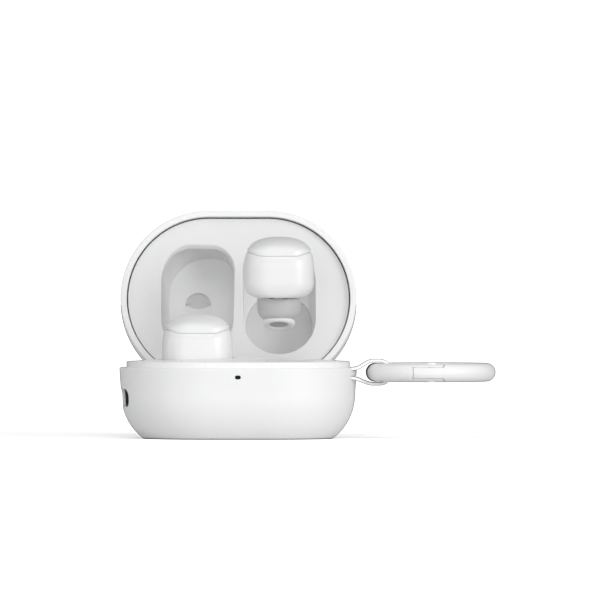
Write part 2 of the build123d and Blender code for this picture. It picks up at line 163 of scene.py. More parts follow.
def outline(corners, z, turn=16, side=6):
    """Closed ring at height z round four corner arcs (x, y, radius and lengthening along y),
    counter-clockwise from the lower right."""
    ring = []
    for k, (cx, cy, radius, tall) in enumerate(corners):
        start = -90 + 90 * k
        ring += [(cx + x, cy + tall * y, z) for x, y in arc(0, 0, radius, start, start + 90, turn)]
        nx, ny, next_radius, next_tall = corners[(k + 1) % 4]
        angle = math.radians(start + 90)
        next_x = nx + next_radius * math.cos(angle)
        next_y = ny + next_tall * next_radius * math.sin(angle)
        ahead = Vector((next_x, next_y, z))
        behind = Vector(ring[-1])
        ring += [tuple(behind.lerp(ahead, i / side)) for i in range(1, side)]
    return ring


def pill_ring(radius, z, turn=28):
    """Ring of the case's pill-shaped plan."""
    right, left = (HALF_STRAIGHT, 0, radius, 1), (-HALF_STRAIGHT, 0, radius, 1)
    return outline((right, right, left, left), z, turn)


def square_ring(half_w, half_d, corner, z, x=0.0, y=0.0):
    """Ring of a rounded rectangle."""
    dx, dy = half_w - corner, half_d - corner
    places = ((x + dx, y - dy), (x + dx, y + dy), (x - dx, y + dy), (x - dx, y - dy))
    return outline([(px, py, corner, 1) for px, py in places], z, 12)


def round_ring(radius, z, x=0.0, y=0.0, turn=12):
    """Ring of a circle, with the same points as square_ring."""
    return outline([(x, y, radius, 1)] * 4, z, turn)


def crown_drop(x, y):
    """How far the gently domed deck lies under its peak."""
    return x * x / (2 * DOME_R_X) + y * y / (2 * DOME_R_Y)


def share_of(x, start, span):
    """Share of a span that x has passed, from 0 to 1."""
    return min(1.0, max(0.0, (x - start) / span))


def eased(share):
    """The same share with a gentle start and end."""
    return share * share * (3 - 2 * share)


def fan(bm, row):
    """Closes a row of points with triangles round its middle."""
    middle = bm.verts.new(sum((vert.co for vert in row), Vector()) / len(row))
    for vert, following in zip(row, row[1:] + row[:1]):
        bm.faces.new((middle, vert, following))


def loft(rings, closed=False):
    """Mesh through rings of equal length: capped at both ends, or joined end to start when closed."""
    bm = bmesh.new()
    rows = [[bm.verts.new(p) for p in ring] for ring in rings]
    pairs = list(zip(rows, rows[1:]))
    if closed:
        pairs.append((rows[-1], rows[0]))
    else:
        fan(bm, rows[0][::-1])
        fan(bm, rows[-1])
    for low, high in pairs:
        count = len(low)
        for i in range(count):
            j = (i + 1) % count
            bm.faces.new((low[i], low[j], high[j], high[i]))
    bmesh.ops.remove_doubles(bm, verts=bm.verts, dist=2e-4)
    bmesh.ops.dissolve_degenerate(bm, edges=bm.edges, dist=1e-4)
    bmesh.ops.recalc_face_normals(bm, faces=bm.faces)
    if bm.calc_volume(signed=True) < 0:
        bmesh.ops.reverse_faces(bm, faces=bm.faces)
    return bm


def make(name, bm):
    """New object from a bmesh, still in millimetres."""
    mesh = bpy.data.meshes.new(name)
    bm.to_mesh(mesh)
    bm.free()
    obj = bpy.data.objects.new(name, mesh)
    bpy.context.scene.collection.objects.link(obj)
    return obj


def carve(obj, *cutters, operation="DIFFERENCE"):
    """Cuts, joins or intersects the object with closed shapes."""
    for number, bm in enumerate(cutters):
        tool = make(f"{obj.name}_tool_{number}", bm)
        step = obj.modifiers.new("cut", "BOOLEAN")
        step.operation = operation
        step.solver = "EXACT"
        step.object = tool
        bpy.context.view_layer.update()
        shape = obj.evaluated_get(bpy.context.evaluated_depsgraph_get())
        result = bpy.data.meshes.new_from_object(shape)
        obj.modifiers.clear()
        obj.data = result
        bpy.data.objects.remove(tool)
    return obj


def settle(obj, place=Matrix.Identity(4), angle=32):
    """Brings a drawn shape to metres and to its place at rest, with smooth shading between real edges."""
    obj.data.transform(place @ Matrix.Scale(MM, 4))
    obj.data.shade_smooth()
    obj.data.set_sharp_from_angle(angle=math.radians(angle))
    even = obj.modifiers.new("even", "WEIGHTED_NORMAL")
    even.keep_sharp = True
    return obj


def dress(obj, material, body, slot, *nodes):
    """Finish, body and CAD nodes of a new piece."""
    obj.data.materials.clear()
    obj.data.materials.append(material)
    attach(obj, body)
    if nodes:
        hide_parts(*nodes)
    return obj


# ---------------------------------------------------------------- materials
def bare(name, colour, roughness, **values):
    """Principled material with constant values on its own sockets."""
    material = bpy.data.materials.new(name)
    material.use_nodes = True
    shader = material.node_tree.nodes["Principled BSDF"]
    shader.inputs["Base Color"].default_value = (*colour, 1)
    shader.inputs["Roughness"].default_value = roughness
    for key, value in values.items():
        shader.inputs[key.replace("_", " ")].default_value = value
    return material, shader


def noise(material, scale, detail=2.0, stretch=None):
    """Noise on the object's own coordinates, in grains per metre."""
    nodes, links = material.node_tree.nodes, material.node_tree.links
    place = nodes.new("ShaderNodeTexCoord")
    texture = nodes.new("ShaderNodeTexNoise")
    texture.inputs["Scale"].default_value = scale
    texture.inputs["Detail"].default_value = detail
    if stretch:
        mapping = nodes.new("ShaderNodeMapping")
        mapping.inputs["Scale"].default_value = stretch
        links.new(place.outputs["Object"], mapping.inputs["Vector"])
        links.new(mapping.outputs["Vector"], texture.inputs["Vector"])
    else:
        links.new(place.outputs["Object"], texture.inputs["Vector"])
    return texture.outputs["Fac"]


def spread(material, fac, low, high, shader, socket):
    """Noise mapped to a range of values on a shader socket."""
    step = material.node_tree.nodes.new("ShaderNodeMapRange")
    step.inputs["From Min"].default_value = 0.3
    step.inputs["From Max"].default_value = 0.7
    step.inputs["To Min"].default_value = low
    step.inputs["To Max"].default_value = high
    material.node_tree.links.new(fac, step.inputs["Value"])
    material.node_tree.links.new(step.outputs["Result"], shader.inputs[socket])


def tint(material, fac, first, second, shader):
    """Noise mapped between two close colours."""
    ramp = material.node_tree.nodes.new("ShaderNodeValToRGB")
    ramp.color_ramp.elements[0].position = 0.3
    ramp.color_ramp.elements[0].color = (*first, 1)
    ramp.color_ramp.elements[1].position = 0.7
    ramp.color_ramp.elements[1].color = (*second, 1)
    material.node_tree.links.new(fac, ramp.inputs["Fac"])
    material.node_tree.links.new(ramp.outputs["Color"], shader.inputs["Base Color"])


def grain(material, fac, height_mm, shader, strength=1.0):
    """Fine relief from noise, its height in millimetres."""
    bump = material.node_tree.nodes.new("ShaderNodeBump")
    bump.inputs["Strength"].default_value = strength
    bump.inputs["Distance"].default_value = height_mm * MM
    material.node_tree.links.new(fac, bump.inputs["Height"])
    material.node_tree.links.new(bump.outputs["Normal"], shader.inputs["Normal"])


def moulded(name, colour, shade, roughness, vary, relief, scale, **values):
    """Moulded plastic or rubber: faint colour drift, uneven gloss and a fine grain."""
    material, shader = bare(name, colour, roughness, **values)
    drift = noise(material, 90.0)
    tint(material, drift, shade, colour, shader)
    spread(material, noise(material, 700.0, 4.0), roughness - vary, roughness + vary, shader, "Roughness")
    grain(material, noise(material, scale, 3.0), relief, shader)
    return material


def metal(name, colour, roughness, stretch, relief=0.003):
    """Machined or pressed metal with fine drawn lines."""
    material, shader = bare(name, colour, roughness, Metallic=1.0)
    lines = noise(material, 900.0, 4.0, stretch)
    spread(material, lines, roughness * 0.75, roughness * 1.3, shader, "Roughness")
    grain(material, lines, relief, shader)
    return material


COVER = moulded("cover_silicone", (0.90, 0.90, 0.90), (0.885, 0.885, 0.885), 0.46, 0.04, 0.004, 5200.0,
                Subsurface_Weight=0.08, Subsurface_Scale=0.002, Sheen_Weight=0.06)
# Lighter copy of the cover silicone: painted light, so the shaded edges of the thin strap read as pale.
STRAP = moulded("strap_silicone_painted_light", (0.95, 0.95, 0.95), (0.94, 0.94, 0.94), 0.46, 0.04, 0.004, 5200.0,
                Subsurface_Weight=0.1, Subsurface_Scale=0.002, Sheen_Weight=0.15)
CASE = moulded("case_plastic", (0.90, 0.90, 0.90), (0.89, 0.89, 0.89), 0.3, 0.03, 0.001, 6000.0,
               Subsurface_Weight=0.05, Subsurface_Scale=0.0015)
LINER = moulded("cradle_plastic", (0.82, 0.82, 0.82), (0.81, 0.81, 0.81), 0.42, 0.03, 0.002, 6000.0,
                Subsurface_Weight=0.05, Subsurface_Scale=0.0015)
# Darker grey finish: painted shade for the deep round pocket and the slanted disc in the lid wells.
PAINTED_SHADE_FINISH = moulded("well_painted_shade", (0.64, 0.64, 0.64), (0.62, 0.62, 0.62), 0.6, 0.04, 0.006, 4000.0,
              Sheen_Weight=0.05)
SHELL = moulded("earbud_plastic", (0.83, 0.83, 0.83), (0.82, 0.82, 0.82), 0.32, 0.03, 0.0012, 6500.0,
                Subsurface_Weight=0.06, Subsurface_Scale=0.0015, Coat_Weight=0.1, Coat_Roughness=0.25)
TIP = moulded("tip_silicone", (0.78, 0.78, 0.78), (0.76, 0.76, 0.76), 0.38, 0.03, 0.002, 5000.0,
              Transmission_Weight=0.35, IOR=1.41, Subsurface_Weight=0.2, Subsurface_Scale=0.001)
PAINT = moulded("carabiner_paint", (0.90, 0.90, 0.90), (0.885, 0.885, 0.885), 0.36, 0.04, 0.0015, 7000.0,
                Coat_Weight=0.15, Coat_Roughness=0.25)
STEEL = metal("steel", (0.62, 0.62, 0.63), 0.28, (1, 12, 12))
GOLD = metal("contact_gold", (0.85, 0.62, 0.3), 0.25, (1, 1, 6))
# Dark metal of the charging contacts, also used as painted shade on the carabiner ring's sleeve.
DARK_CONTACT_AND_SHADE = metal("contact_dark", (0.12, 0.12, 0.13), 0.35, (1, 1, 6))
NICKEL = metal("magnet_nickel", (0.6, 0.59, 0.56), 0.22, (4, 1, 1))
MESH = moulded("outlet_mesh", (0.50, 0.50, 0.50), (0.34, 0.34, 0.34), 0.5, 0.1, 0.02, 3500.0, Metallic=0.3)
LENS = moulded("smoked_lens", (0.006, 0.006, 0.006), (0.004, 0.004, 0.004), 0.45, 0.02, 0.0005, 3000.0,
               Specular_IOR_Level=0.15)
RESIN = moulded("led_resin", (0.8, 0.78, 0.6), (0.75, 0.7, 0.5), 0.3, 0.05, 0.002, 2500.0)
BOARD = moulded("circuit_board", (0.02, 0.14, 0.06), (0.015, 0.10, 0.045), 0.4, 0.08, 0.01, 1800.0)
# Black of the chips, also used as painted shade on the frame inside the charging opening.
CHIP_BLACK_AND_SHADE = moulded("chip_black", (0.025, 0.025, 0.027), (0.018, 0.018, 0.02), 0.5, 0.08, 0.004, 3000.0)
FOIL = moulded("cell_foil", (0.66, 0.67, 0.68), (0.6, 0.6, 0.62), 0.35, 0.1, 0.03, 500.0, Metallic=0.7)
FOAM = moulded("foam", (0.12, 0.12, 0.12), (0.08, 0.08, 0.08), 0.9, 0.05, 0.08, 2600.0)
FILM = moulded("flex_film", (0.55, 0.3, 0.06), (0.45, 0.24, 0.05), 0.35, 0.08, 0.004, 1500.0)

FINISHES = {
    "cover_silicone": COVER, "case_plastic": CASE, "cradle_plastic": LINER, "earbud_plastic": SHELL,
    "tip_silicone": TIP, "carabiner_paint": PAINT, "steel": STEEL, "contact_gold": GOLD,
    "contact_dark": DARK_CONTACT_AND_SHADE, "outlet_mesh": MESH, "smoked_lens": LENS, "led_resin": RESIN,
    "circuit_board": BOARD, "chip_black": CHIP_BLACK_AND_SHADE, "cell_foil": FOIL, "foam": FOAM, "flex_film": FILM,
    "magnet_nickel": NICKEL,
}


def finish_cad_nodes():
    """Every CAD node gets the finish that its material slot names."""
    for part in frame["nodes"].values():
        names = [slot.material.name.split(".")[0] for slot in part.material_slots if slot.material]
        chosen = next((FINISHES[name] for name in names if name in FINISHES), CASE)
        part.data.materials.clear()
        part.data.materials.append(chosen)


# ------------------------------------------------------------------ camera
def camera():
    """Long lens at the height of the rim, almost level, straight at the front."""
    data = bpy.data.cameras.new("camera")
    distance = 5.0
    width = 0.162
    data.sensor_width = 36
    data.lens = 36 * distance / width
    data.clip_start, data.clip_end = 0.5, 20
    target = Vector((0.0167, 0, 0.0374))
    eye = target + Vector((0, -distance, distance * math.tan(math.radians(0.5))))
    obj = bpy.data.objects.new("camera", data)
    obj.location = eye
    obj.rotation_euler = (target - eye).to_track_quat("-Z", "Y").to_euler()
    bpy.context.scene.collection.objects.link(obj)
    bpy.context.scene.camera = obj


# ------------------------------------------------------------------- stage
# name, place in metres, size in metres and power in watts of every soft box
LIGHTS = (
    ("front", (0.0, -1.0, 0.1), (0.8, 0.5), 2.6),
    ("front_right", (0.8, -0.8, 0.3), (0.5, 0.5), 5.2),
    ("front_left", (-0.8, -0.8, 0.3), (0.5, 0.5), 1.1),
    ("top", (0.0, -0.1, 1.0), (0.7, 0.7), 1.2),
    ("top_front", (0.0, -0.7, 0.8), (0.6, 0.4), 1.9),
    ("right", (1.0, -0.1, 0.2), (0.4, 0.4), 0.35),
    ("left", (-1.0, -0.1, 0.2), (0.4, 0.4), 0.9),
)


def area_light(name, place, target, size, power):
    """Rectangular soft box that faces its target."""
    data = bpy.data.lights.new(name, "AREA")
    data.shape = "RECTANGLE"
    data.size, data.size_y = size
    data.energy = power
    obj = bpy.data.objects.new(name, data)
    obj.location = place
    obj.rotation_euler = (Vector(target) - Vector(place)).to_track_quat("-Z", "Y").to_euler()
    bpy.context.scene.collection.objects.link(obj)


def stage():
    """White seamless floor and background, with soft light from the front."""
    bm = bmesh.new()
    bmesh.ops.create_grid(bm, x_segments=1, y_segments=1, size=4.0 / MM)
    floor = settle(make("floor", bm))
    material, _ = bare("floor", (0.75, 0.75, 0.75), 0.9)
    floor.data.materials.append(material)
    floor.is_shadow_catcher = True
    world = bpy.data.worlds.new("studio")
    world.use_nodes = True
    nodes, links = world.node_tree.nodes, world.node_tree.links
    light = nodes["Background"]
    light.inputs["Color"].default_value = (1, 1, 1, 1)
    light.inputs["Strength"].default_value = 0.28
    white = nodes.new("ShaderNodeBackground")
    white.inputs["Color"].default_value = (1, 1, 1, 1)
    white.inputs["Strength"].default_value = 1.1
    path = nodes.new("ShaderNodeLightPath")
    mix = nodes.new("ShaderNodeMixShader")
    links.new(path.outputs["Is Camera Ray"], mix.inputs["Fac"])
    links.new(light.outputs["Background"], mix.inputs[1])
    links.new(white.outputs["Background"], mix.inputs[2])
    links.new(mix.outputs["Shader"], nodes["World Output"].inputs["Surface"])
    bpy.context.scene.world = world
    for name, place, size, power in LIGHTS:
        area_light(name, place, (0.0, 0.0, 0.03), size, power)


# ------------------------------------------------------------- lower cover
def flank_radius(z):
    """Radius of the cover's outside at a height."""
    below = max(0.0, FLANK_Z - z)
    above = max(0.0, z - FLANK_Z) / (COVER_TOP - FLANK_Z)
    return COVER_R - FLARE - FLANK_R + math.sqrt(FLANK_R**2 - below**2) + FLARE * above


def mouth(u_range, v_range, corner, round_r, surface, depth=4.0):
    """Cutter for an opening in a curved wall, its mouth rounded off.
    surface(u, v, out) gives the point that lies out millimetres outside the wall. The outer end is closed
    round its middle point, which falls inside the wall where the opening is wide and the wall curved."""
    (u_low, u_high), (v_low, v_high) = u_range, v_range
    steps = [(0.0, -depth)]
    steps += [(round_r * (1 - math.cos(a)), round_r * (math.sin(a) - 1)) for a in quarter(5)]
    steps.append((round_r, 1.2))
    rings = []
    for grow, out in steps:
        flat = square_ring(
            (u_high - u_low) / 2 + grow, (v_high - v_low) / 2 + grow, corner + grow, 0,
            (u_low + u_high) / 2, (v_low + v_high) / 2,
        )
        rings.append([surface(u, v, out) for u, v, _ in flat])
    return loft(rings)


def quarter(steps, start=0.0, end=86.0):
    """Evenly spread angles in radians, between two given in degrees."""
    return [math.radians(start + (end - start) * i / steps) for i in range(steps + 1)]


def box_tool(x, y, z, corner=0.05):
    """Block with barely rounded upright edges, from (low, high) pairs."""
    half_w, half_d = (x[1] - x[0]) / 2, (y[1] - y[0]) / 2
    centre = (x[0] + x[1]) / 2, (y[0] + y[1]) / 2
    return loft([square_ring(half_w, half_d, corner, level, *centre) for level in z])


def left_end(u, v, out):
    """Point outside the left end of the cover, u towards +Y and v up."""
    radius = flank_radius(v)
    return -HALF_STRAIGHT - math.sqrt(radius**2 - u**2) - out, u, v


def rear_face(u, v, out):
    """Point outside the rear face, u towards +X and v up."""
    past = max(0.0, abs(u) - HALF_STRAIGHT)
    return u, math.sqrt(flank_radius(v) ** 2 - past**2) + out, v


def front_face(u, v, out):
    """Point outside the flat front face, u towards +X and v up."""
    return u, -COVER_R - out, v


def lower_cover():
    """Lower silicone cover with its light hole, charging opening, rear notch and strap slots.
    A thin flap stays across the rear notch, because its cutter's outer end falls inside the wall."""
    foot = flank_radius(0.15)
    profile = [(foot - 1.3, 0.0), (foot - 0.6, 0.02)]
    outside = [0.15 + (COVER_TOP - 0.7) * (i / 30) ** 1.5 for i in range(31)]
    profile += [(flank_radius(z), z) for z in outside]
    profile += arc(COVER_R - 0.5, COVER_TOP - 0.5, 0.5, 10, 90, 6)
    profile += arc(INNER_R + 0.2, COVER_TOP - 0.2, 0.2, 90, 180, 3)
    inside = [COVER_WALL + (COVER_TOP - COVER_WALL - 1.0) * (i / 20) ** 1.5 for i in range(20, -1, -1)]
    profile += [(min(INNER_R, flank_radius(z) - COVER_WALL + GAP), z) for z in inside]
    cover = make("lower_cover", loft([pill_ring(r, z) for r, z in profile]))
    slot_side = STRAP_HALF + GAP
    behind = loft([pill_ring(COVER_R - 0.92, z) for z in (STRAP_LOW - GAP, 24.0)])
    wedge = box_tool((20, 36), (-slot_side, slot_side), (10, 30))
    behind_tool = make("behind", behind)
    carve(behind_tool, wedge, operation="INTERSECT")
    behind = bmesh.new()
    behind.from_mesh(behind_tool.data)
    bpy.data.objects.remove(behind_tool)
    light_range = (LED_Z - LED_HALF_H, LED_Z + LED_HALF_H)
    port_y_range = (PORT_Y - PORT_HALF_W, PORT_Y + PORT_HALF_W)
    port_z_range = (PORT_Z - PORT_HALF_H, PORT_Z + PORT_HALF_H)
    top_slot, low_slot = (STRAP_TOP - STRAP_T - GAP, 25), (STRAP_LOW - GAP, STRAP_LOW + STRAP_T + GAP)
    carve(
        cover,
        mouth((-LED_HALF_W, LED_HALF_W), light_range, LED_HALF_H - 0.01, 0.06, front_face),
        mouth(port_y_range, port_z_range, 2.3, 0.3, left_end, 5.0),
        mouth((-NOTCH_HALF, NOTCH_HALF), (NOTCH_BOTTOM, 26.0), 1.6, 0.3, rear_face, 5.0),
        box_tool((24, 36), (-slot_side, slot_side), top_slot, 0.3),
        box_tool((24, 36), (-slot_side, slot_side), low_slot, 0.3),
        behind,
    )
    settle(cover)
    dress(cover, COVER, "base", "cover_silicone", "cover_base")


def status_lens():
    """Smoked lens that fills the hole in the cover."""
    steps = ((0.03, -3.0), (0.03, -0.12), (0.08, -0.05), (0.2, 0.0))
    rings = []
    for inset, out in steps:
        flat = square_ring(LED_HALF_W - inset, LED_HALF_H - inset, LED_HALF_H - inset - 0.01, 0, 0, LED_Z)
        rings.append([front_face(u, v, out) for u, v, _ in flat])
    lens = settle(make("status_lens", loft(rings)))
    dress(lens, LENS, "base", "smoked_lens", "light_pipe")


def port_painted_shade():
    """Dark frame round the charging socket, set back in the opening of the cover: painted shade for the dim
    inside of the opening.
    """
    edge, hole = (6.25, 2.3), (4.6, 1.75)
    rings = []
    for (half_w, half_h), out in ((edge, -1.9), (edge, -0.75), (hole, -0.95), (hole, -1.9)):
        flat = square_ring(half_w, half_h, half_h - 0.02, 0, PORT_Y, PORT_Z)
        rings.append([left_end(u, v, out) for u, v, _ in flat])
    shade_frame = settle(make("port_painted_shade", loft(rings, closed=True)))
    dress(shade_frame, CHIP_BLACK_AND_SHADE, "base", "chip_black")


# --------------------------------------------------------------- lid cover
def lid_cover():
    """Upper silicone cover: a deep round dish with a rounded lower edge."""
    skirt_r = INNER_R + 0.25
    centre, knee = COVER_R - LID_ROUND, LID_TOP - LID_ROUND
    profile = [(0.6, LID_TOP)] + arc(centre, knee, LID_ROUND, 90, 0, 26)
    profile += arc(COVER_R - 0.45, LID_BOTTOM + 0.45, 0.45, 0, -90, 6)
    profile += arc(skirt_r + 0.22, LID_BOTTOM + 0.22, 0.22, -90, -180, 4)
    profile += [(skirt_r, SEAM_DEPTH), (INNER_R, SEAM_DEPTH + 0.2)]
    profile += arc(centre, knee, LID_ROUND - COVER_WALL, 0, 90, 18) + [(0.6, LID_TOP - COVER_WALL)]
    cover = settle(make("lid_cover", loft([pill_ring(r, z) for r, z in profile])), OPENED)
    dress(cover, COVER, "lid", "cover_silicone", "cover_lid")


def lid_shell():
    """Hard shell of the lid, its edge set back behind the narrow seam round the liner."""
    centre, knee = COVER_R - LID_ROUND, LID_TOP - LID_ROUND
    round_r = CASE_R - centre
    profile = [(0.6, knee + round_r)] + arc(centre, knee, round_r, 90, 0, 16)
    profile += [(CASE_R, SEAM_DEPTH), (CASE_R - 1.0, SEAM_DEPTH)]
    profile += arc(centre, knee, round_r - 1.0, 0, 90, 12) + [(0.6, knee + round_r - 1.0)]
    shell = make("lid_case", loft([pill_ring(r, z, 16) for r, z in profile]))
    carve(shell, box_tool((-ARM_ROOM_HALF, ARM_ROOM_HALF), (19, 23.5), (20, 26.5)))
    settle(shell, OPENED)
    dress(shell, CASE, "lid", "case_plastic", "case_lid_shell")


def blend_corners(first, second, t):
    """Corner arcs part of the way from the first set to the second."""
    return [tuple(p + (q - p) * t for p, q in zip(a, b)) for a, b in zip(first, second)]


def crowned(ring, depth=0.0):
    """Ring laid on the underside of the domed deck line, its z counted upwards from there."""
    return [(x, y, LINER_PEAK - crown_drop(x, y) + z + depth) for x, y, z in ring]


def mirrored(corners, x):
    """Corner arcs of the left well, or their mirror image for the right one."""
    if x < 0:
        return [(x + cx, cy, radius, tall) for cx, cy, radius, tall in corners]
    front_right, rear_right, rear_left, front_left = corners
    swapped = (front_left, rear_left, rear_right, front_right)
    return [(x - cx, cy, radius, tall) for cx, cy, radius, tall in swapped]


def well_rings(x, grow):
    """Rings of a lid well from its rounded lip to its floor, grown outwards."""
    edge = mirrored(WELL_EDGE, x)
    floor = mirrored(WELL_FLOOR_EDGE, x)
    lip = mirrored(WELL_LIP, x)
    rings = []
    if grow == 0:
        rings.append(crowned(outline(lip, 0, 16), -4.0))
        for i in range(6):
            t = i / 5
            ring = outline(blend_corners(lip, edge, t), 0, 16)
            rings.append(crowned(ring, 0.44 * t + 0.6 * t * t - 0.04))
    else:
        rings.append(outline([(cx, cy, r + grow, tall) for cx, cy, r, tall in edge], 22.6, 16))
    draft = [(0.0, -7.7), (0.93, -0.45), (0.965, -0.15), (1.0, 0.0)]
    for share, below in draft:
        z = WELL_FLOOR + below
        corners = [(cx, cy, r + grow, tall) for cx, cy, r, tall in blend_corners(edge, floor, share)]
        rings.append(outline(corners, z + grow, 16))
    return rings


def lid_liner():
    """Domed panel inside the lid with a well for each earbud."""
    flange_r, panel_r = INNER_R - 0.08, LINER_R - GAP
    rings = [[(x, y, LINER_TOP) for x, y, _ in pill_ring(r, 0, 20)] for r in (0.5, panel_r)]
    rings += [pill_ring(panel_r, FLANGE_TOP, 20), pill_ring(flange_r, FLANGE_TOP, 20)]
    rings.append(crowned(pill_ring(flange_r, 0.14, 20)))
    rings.append(crowned(pill_ring(flange_r - 0.05, 0.04, 20)))
    for r in (flange_r - 0.16, 20.6, 18.0, 15.0, 12.0, 9.0, 6.0, 3.0, 0.5):
        rings.append(crowned(pill_ring(r, 0.0, 20)))
    liner = make("lid_liner_panel", loft(rings))
    carve(liner, box_tool((-ARM_ROOM_HALF, ARM_ROOM_HALF), (21.05, 23.5), (20, 26.5)))
    for x in (-BUD_X, BUD_X):
        carve(liner, loft(well_rings(x, 0.8)), operation="UNION")
    carve(liner, box_tool((-7, 7), (17.8, 21.0), (22.6, 25.5), 0.3), operation="UNION")
    steps = ((9.8, -6.6), (9.8, 0.3), (8.6, 1.3))
    backing = loft([round_ring(r, WELL_FLOOR + z, BUD_X, POCKET_Y, 24) for r, z in steps])
    carve(liner, backing, operation="UNION")
    for x in (-BUD_X, BUD_X):
        carve(liner, loft(well_rings(x, 0)))
    carve(liner, moon_dimple(-BUD_X), round_pocket(BUD_X))
    settle(liner, OPENED)
    dress(liner, LINER, "lid", "cradle_plastic", "lid_liner")


def moon_dimple(x):
    """Shallow slanted disc in the well's floor, deep at its front and running out at its middle."""
    dish = loft([round_ring(r, z) for r, z in ((3.5, -2.0), (3.5, 0.1), (3.4, 0.25), (3.1, 0.3))])
    bmesh.ops.transform(dish, matrix=slanted(x), verts=dish.verts)
    return dish


def slanted(x):
    """Place and tilt of the slanted disc in a well's floor."""
    return Matrix.Translation((x, 0.1, WELL_FLOOR)) @ Matrix.Rotation(math.radians(-8), 4, "X")


def pocket_floor(x, lift, radius):
    """Rings of the round pocket's hollow floor."""
    steps = [(radius * math.cos(a), 0.45 + 0.4 * math.sin(a) - lift) for a in quarter(10, 0, 88)]
    return [round_ring(r, WELL_FLOOR + z, x, POCKET_Y, 24) for r, z in steps]


def round_pocket(x):
    """Deeper round pocket at the rear end of the well, with a hollow floor."""
    return loft([round_ring(POCKET_R, WELL_FLOOR - 6.6, x, POCKET_Y, 24)] + pocket_floor(x, 0, POCKET_R))


def painted_shade_sheets():
    """Thin darker sheets on the round pocket's floor and the slanted disc: painted shade for the deep
    pocket and the dark upper half of the disc.
    """
    shade_sheet_r = 8.98
    sheet = loft(pocket_floor(BUD_X, 0.12, shade_sheet_r)[::-1] + pocket_floor(BUD_X, 0.02, shade_sheet_r))
    dress(settle(make("pocket_painted_shade", sheet), OPENED), PAINTED_SHADE_FINISH, "lid", "cradle_plastic")
    half_disc = arc(0, -0.1, 3.4, 180, 360, 24) + arc(0, -4.5, 5.35, 51, 129, 12)
    moon = loft([[(x, y, z) for x, y in half_disc] for z in (0.2, 0.29)])
    bmesh.ops.transform(moon, matrix=slanted(-BUD_X), verts=moon.verts)
    dress(settle(make("moon_painted_shade", moon), OPENED), PAINTED_SHADE_FINISH, "lid", "cradle_plastic")


# ------------------------------------------------------------------ cradle
def pocket_rings(x, grow):
    """Rings of an earbud pocket from its rounded lip to its shelf."""
    half_w, half_d = BUD_HALF_W + 0.3 + grow, BUD_HALF_D + 0.3 + grow
    corner = BUD_CORNER + 0.3 + grow
    rings = []
    if grow == 0:
        lip = 0.55
        above = square_ring(half_w + lip, half_d + lip, corner + lip, 0, x)
        rings.append([(px, py, DECK_PEAK + 3) for px, py, _ in above])
        for a in quarter(5, 6, 90):
            out, down = lip * (1 - math.sin(a)), lip * (1 - math.cos(a)) - 0.03
            ring = square_ring(half_w + out, half_d + out, corner + out, 0, x)
            rings.append([(px, py, DECK_PEAK - crown_drop(px, py) - down) for px, py, _ in ring])
    else:
        rings.append(square_ring(half_w, half_d, corner, 20.2, x))
    for a in quarter(4, 0, 90):
        inset, down = 0.9 * (1 - math.cos(a)), 0.9 * math.sin(a)
        level = SHELF_Z - grow + 0.9 - down
        rings.append(square_ring(half_w - inset, half_d - inset, corner - inset, level, x))
    return rings


def cup_rings(x, grow):
    """Rings of the round cup under the shelf, where the ear tip sits."""
    radius, lip, foot = CUP_R + grow, 0.35, 2.2
    if grow:
        steps = [(radius, SHELF_Z - grow + 0.3)]
    else:
        steps = [(radius, SHELF_Z + 0.4)]
        for a in quarter(3, 6, 90):
            steps.append((radius + lip * (1 - math.sin(a)), SHELF_Z - lip * (1 - math.cos(a))))
    for a in quarter(5, 0, 90):
        steps.append((radius - foot * (1 - math.cos(a)), CUP_FLOOR - grow + foot - foot * math.sin(a)))
    return [round_ring(r, z, x) for r, z in steps]


def cradle():
    """Domed deck of the case with an earbud pocket on each side."""
    radius = DECK_R - GAP
    rings = [pill_ring(0.5, 19.4, 20), pill_ring(radius, 19.4, 20)]
    rings.append([(x, y, DECK_PEAK - crown_drop(x, y) - 0.2) for x, y, _ in pill_ring(radius, 0, 20)])
    for r in (radius - 0.08, radius - 0.25, 18.0, 15.0, 12.0, 9.0, 6.0, 3.0, 0.5):
        drop = 0.07 if r > radius - 0.2 else 0.0
        rings.append([(x, y, DECK_PEAK - crown_drop(x, y) - drop) for x, y, _ in pill_ring(r, 0, 20)])
    deck = make("cradle_deck", loft(rings))
    for x in (-BUD_X, BUD_X):
        carve(deck, loft(pocket_rings(x, 1.0)), loft(cup_rings(x, 0.8)), operation="UNION")
    for x in (-BUD_X, BUD_X):
        carve(deck, loft(pocket_rings(x, 0)), loft(cup_rings(x, 0)))
        pin_places = (x - CONTACT_X, x + CONTACT_X)
        carve(deck, *[loft([round_ring(0.5, z, px, CONTACT_Y) for z in (12, 18)]) for px in pin_places])
    settle(deck)
    dress(deck, CASE, "base", "cradle_plastic", "cradle")


# ----------------------------------------------------------------- earbuds
def rise(x):
    """How much higher the parting line runs at the earbud's sides than at its front."""
    return 0.95 * eased(share_of(abs(x), 4.6, 4.0))


def parted(ring, share=1.0):
    """Ring that follows the parting line."""
    return [(x, y, z + share * rise(x)) for x, y, z in ring]


def bud_cap_rings(inset):
    """Rings of the domed cap from the parting line to its apex."""
    half_w, half_d = CAP_HALF_W - inset, CAP_HALF_D - inset
    corner = SOFT_CORNER - 0.9 - inset
    rings = [parted(square_ring(half_w, half_d, corner, PARTING + 0.05))]
    if inset == 0:
        rings.insert(0, parted(square_ring(half_w - 0.07, half_d - 0.07, corner, PARTING)))
    height = BUD_APEX - inset - DOME_EDGE
    for i, a in enumerate(quarter(16, 0, 88.5)):
        w, d = half_w * math.cos(a) ** 0.9, half_d * math.cos(a) ** 1.4
        ring = square_ring(w, d, min(w, d) * (0.64 + 0.35 * math.sin(a)), DOME_EDGE + height * math.sin(a))
        rings.append(parted(ring, 0.9 * max(0.0, 1 - i / 3)) if i < 3 else ring)
    return rings


